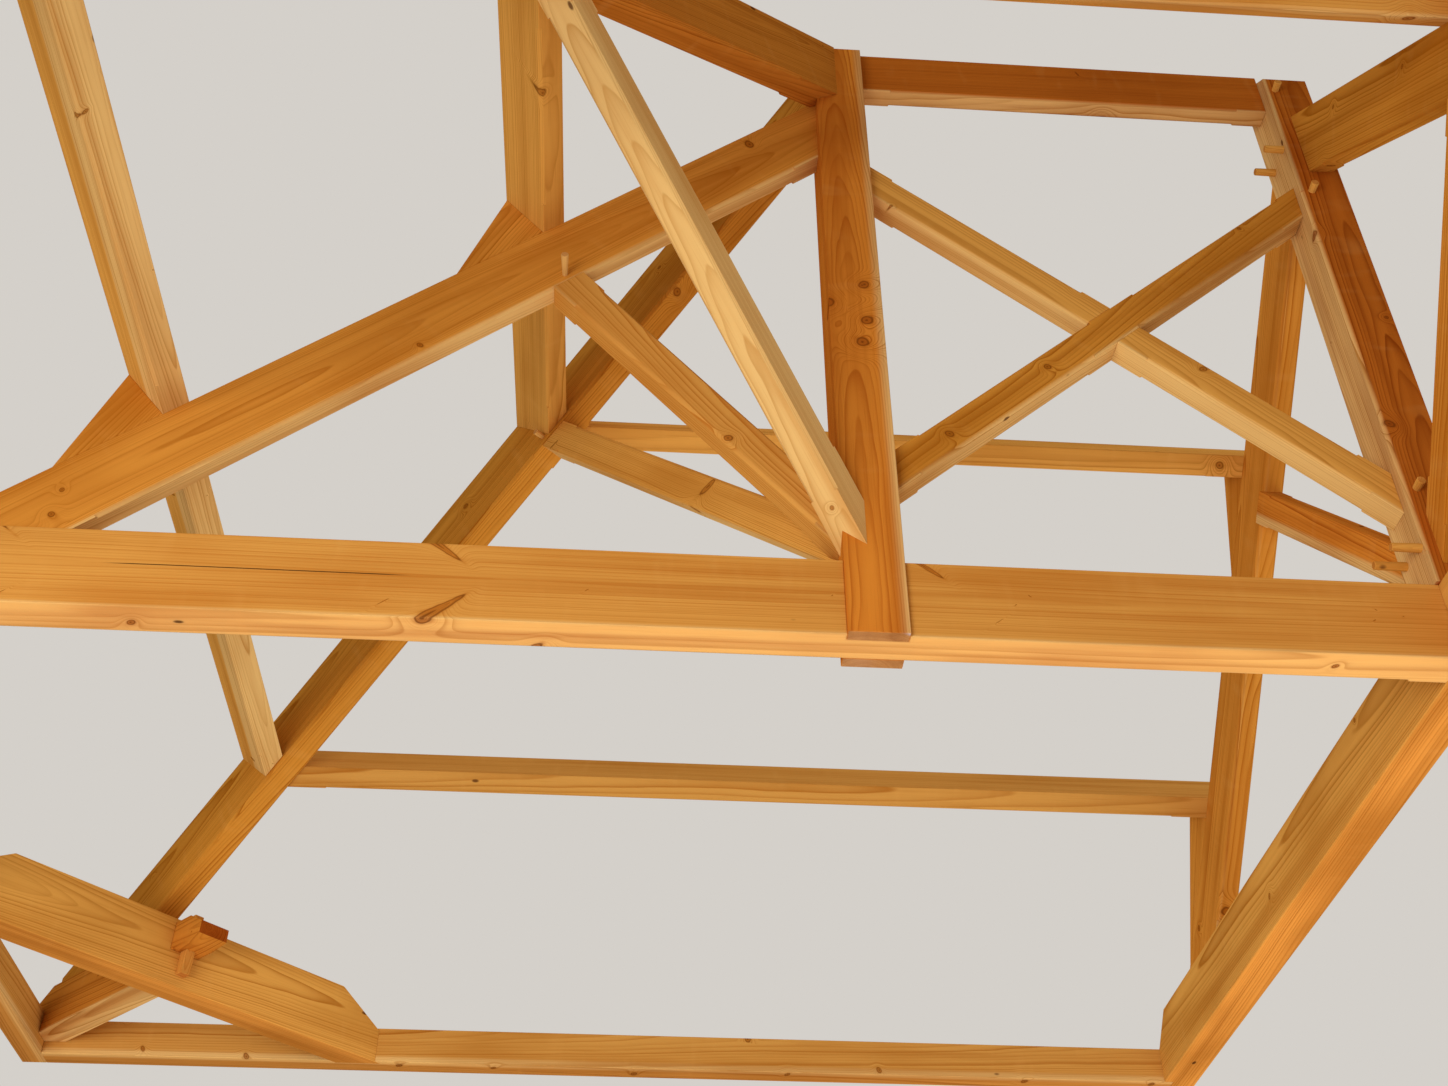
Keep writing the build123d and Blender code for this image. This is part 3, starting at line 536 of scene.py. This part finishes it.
def islands(bm):
    """The groups of vertices that hang together, in the order of their places."""
    left, groups = set(bm.verts), []
    while left:
        group, front = set(), [next(iter(left))]
        while front:
            v = front.pop()
            if v in group:
                continue
            group.add(v)
            front.extend(e.other_vert(v) for e in v.link_edges)
        left -= group
        groups.append(sorted(group, key=lambda v: v.index))
    return sorted(groups, key=lambda group: sum(v.co.dot(skew) for v in group) / len(group))


def longest(points):
    """The direction in which these points reach farthest, found by turning towards it in steps."""
    middle = sum(points, Vector()) / len(points)
    direction = max((p - middle for p in points), key=lambda d: d.length)
    for _ in range(12):
        total = Vector()
        for p in points:
            d = p - middle
            total += d * d.dot(direction)
        direction = total.normalized()
    return direction if direction.dot(skew) > 0 else -direction


wedge = [v.co.copy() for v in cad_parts["dragon_wedge_far"].data.vertices]
print("a wedge key is longest along", [round(c, 2) for c in longest(wedge)])

# %% Planing one timber
arris = 0.0022               # width of the bevel
weld = 2e-5                  # vertices closer than this are one
flat = math.radians(0.6)     # faces that turn less than this are one
sharp_from = math.radians(22)
apart = 1.9                  # metres of log between the small pieces of one node


def planed(name, along, up):
    """A bevelled copy of a node, linked to the scene, and its placed knots in log's measures."""
    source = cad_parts[name]
    bm = bmesh.new()
    bm.from_mesh(source.data)
    bmesh.ops.remove_doubles(bm, verts=bm.verts, dist=weld)
    bmesh.ops.dissolve_limit(bm, angle_limit=flat, verts=bm.verts, edges=bm.edges)
    sharp = [e for e in bm.edges if len(e.link_faces) == 2 and e.calc_face_angle(0) > sharp_from]
    bmesh.ops.bevel(bm, geom=sharp, offset=arris, offset_type="OFFSET", segments=1, profile=0.6,
                    affect="EDGES", clamp_overlap=True)
    bmesh.ops.triangulate(bm, faces=bm.faces)
    box = [[f(v.co[i] for v in source.data.vertices) for i in range(3)] for f in (min, max)]
    for v in bm.verts:           # a mitred bevel may overshoot by a hair
        v.co = [min(max(c, low), high) for c, low, high in zip(v.co, *box)]
    bm.verts.index_update()
    places, runs = [None] * len(bm.verts), [None] * len(bm.verts)
    groups = [bm.verts] if along else islands(bm)
    for number, group in enumerate(groups):
        points = [v.co.copy() for v in group]
        x = along or longest(points)
        y = up.cross(x)
        y = y.normalized() if y.length > 0.1 else X.cross(x).normalized()
        z = x.cross(y)
        turned = [(p.dot(x), p.dot(y), p.dot(z)) for p in points]
        middle = [(min(values) + max(values)) / 2 for values in zip(*turned)]
        for v, spot in zip(group, turned):
            along_log, across, above = (c - m for c, m in zip(spot, middle))
            places[v.index] = (along_log + number * apart, across, above)
            runs[v.index] = tuple(x)
    mesh = bpy.data.meshes.new(name + "_planed")
    bm.to_mesh(mesh)
    bm.free()
    for label, values in (("grain", places), ("run", runs)):
        layer = mesh.attributes.new(label, "FLOAT_VECTOR", "POINT")
        layer.data.foreach_set("vector", [c for value in values for c in value])
    piece = bpy.data.objects.new(name + "_planed", mesh)
    bpy.context.scene.collection.objects.link(piece)
    marked = [(*(Vector(spot).dot(axis) - m for axis, m in zip((x, y, z), middle)), size)
              for spot, size in landmarks.get(name, ())]
    return piece, marked


print("each sharp edge will lose", arris * 1000, "mm")

# %% [markdown]
# ## Every timber in its place
# Each piece takes the place of its drawn node and moves with the one body that the frame is. The
# drawn node gets the same material, in case it is ever shown. The pegs in the gable post have a
# second material, of a darker tone.

# %% Making the pieces
usual_knots = 0.42           # the share of cells that hold a knot
gable_from = 1.5             # pegs beyond this place along the ridge are the gable's

triangles = 0
for number, (name, row) in enumerate(timbers.items()):
    along, up, pith, ring, sapwood, tone, slot = row
    piece, marked = planed(name, along, up)
    knots = 0.0 if slot == "peg_timber" else usual_knots
    finish = oiled_timber(name + "_finish", pith, ring, sapwood, tone, 1.37 * number + 0.61,
                          knots, marked)
    piece.data.materials.append(finish)
    if name == "pegs":
        piece.data.materials.append(oiled_timber("gable_pegs_finish", pith, ring, sapwood,
                                                 "khaki", 3.3, 0.0, ()))
        for face in piece.data.polygons:
            face.material_index = int(face.center.x > gable_from)
    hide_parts(name)
    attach(piece, "root")
    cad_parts[name].data.materials.clear()
    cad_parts[name].data.materials.append(finish)
    triangles += len(piece.data.polygons)
print("all pieces planed:", triangles, "triangles")

# %% [markdown]
# ## The place it is shown in
# The photograph looks up into the roof from below, so the camera stands under the floor's level.
# The floor is a plain pale sheet that is there for a view from above, and clear to an eye or a
# lamp below it. The air is a pale grey that the eye sees as it is, and a softer light falls
# from it.

# %% Floor and surrounding light
bpy.ops.mesh.primitive_plane_add(size=60, location=(0, 0, -0.003))
floor = bpy.context.object
floor.name = "floor"
ground = bpy.data.materials.new("floor_finish")
ground.use_nodes = True
g = Wiring(ground.node_tree)
matt = g.add("ShaderNodeBsdfDiffuse", {"Color": (0.70, 0.68, 0.65, 1)})
clear = g.add("ShaderNodeBsdfTransparent", {})
below = g.add("ShaderNodeNewGeometry", {}, "Backfacing")
shadow = g.add("ShaderNodeLightPath", {}, "Is Shadow Ray")
seen = g.add("ShaderNodeMixShader", {0: g.math("MAXIMUM", below, shadow), 1: matt, 2: clear})
g.put(ground.node_tree.nodes["Material Output"].inputs["Surface"], seen)
floor.data.materials.append(ground)

world = bpy.data.worlds.new("studio")
bpy.context.scene.world = world
world.use_nodes = True
air = Wiring(world.node_tree)
ray = world.node_tree.nodes.new("ShaderNodeLightPath").outputs
direct = air.math("MAXIMUM", ray["Is Camera Ray"], ray["Is Transmission Ray"])
visible = air.add("ShaderNodeBackground", {"Color": (0.66, 0.63, 0.59, 1), "Strength": 1.0})
falling = air.add("ShaderNodeBackground", {"Color": (1.0, 0.97, 0.93, 1), "Strength": 0.42})
both = air.add("ShaderNodeMixShader", {0: direct, 1: falling, 2: visible})
air.put(world.node_tree.nodes["World Output"].inputs["Surface"], both)
print("the floor is", floor.dimensions.x, "m wide, and the air lights from all sides")

# %% [markdown]
# ## Lamps
# The photograph's light is soft and comes from below and from the front, so two large square
# lamps hang under the floor's level, and a weaker one above lights the backs of the timbers for
# other views. A large lamp throws soft shadows. Its power follows from how bright it should be at
# its aim, so it can be moved without a change of exposure.

# %% Three soft lamps


def soft_lamp(name, place, aim, size, share, colour):
    """A square lamp. The share says how much of a full exposure it gives at the aim."""
    data = bpy.data.lights.new(name, "AREA")
    data.shape = "SQUARE"
    data.size = size
    reach = (Vector(aim) - Vector(place)).length
    data.energy = share * math.pi ** 2 * reach ** 2
    data.color = colour
    lamp = bpy.data.objects.new(name, data)
    bpy.context.scene.collection.objects.link(lamp)
    lamp.location = place
    lamp.rotation_euler = (Vector(aim) - Vector(place)).to_track_quat("-Z", "Y").to_euler()
    print(name, "gives", round(data.energy), "W from", round(reach, 1), "m")


soft_lamp("lamp_below", (3.0, 1.0, -7.0), (-0.8, 0.0, 1.5), 9.0, 0.56, (1.0, 0.99, 0.98))
soft_lamp("lamp_front", (-6.0, -7.8, -3.4), (-0.8, 0.0, 1.0), 6.0, 0.72, (1.0, 0.98, 0.95))
soft_lamp("lamp_above", (1.0, 3.0, 9.0), (-0.8, 0.0, 1.5), 5.0, 0.40, (1.0, 0.98, 0.96))

# %% [markdown]
# ## The photograph's camera
# Its place and turn come from the photograph's own vanishing points: upright posts, level beams
# and the ridge each lead to one, and together they fix how the lens looked into the roof.

# %% The camera
right = Vector((0.997881, -0.065057, 0.000379))
upward = Vector((-0.041564, -0.633032, 0.773009))
backward = Vector((-0.050050, -0.771387, -0.634395))
lens = bpy.data.cameras.new("camera")
lens.sensor_width = 36.0
lens.lens = 41.178
lens.clip_end = 200.0
camera = bpy.data.objects.new("camera", lens)
bpy.context.scene.collection.objects.link(camera)
camera.matrix_world = Matrix(((right.x, upward.x, backward.x, -0.761),
                              (right.y, upward.y, backward.y, -4.259),
                              (right.z, upward.z, backward.z, -3.086),
                              (0, 0, 0, 1)))
bpy.context.scene.camera = camera
bpy.context.scene.view_settings.view_transform = "Standard"
print("the camera stands at", [round(v, 3) for v in camera.matrix_world.translation])
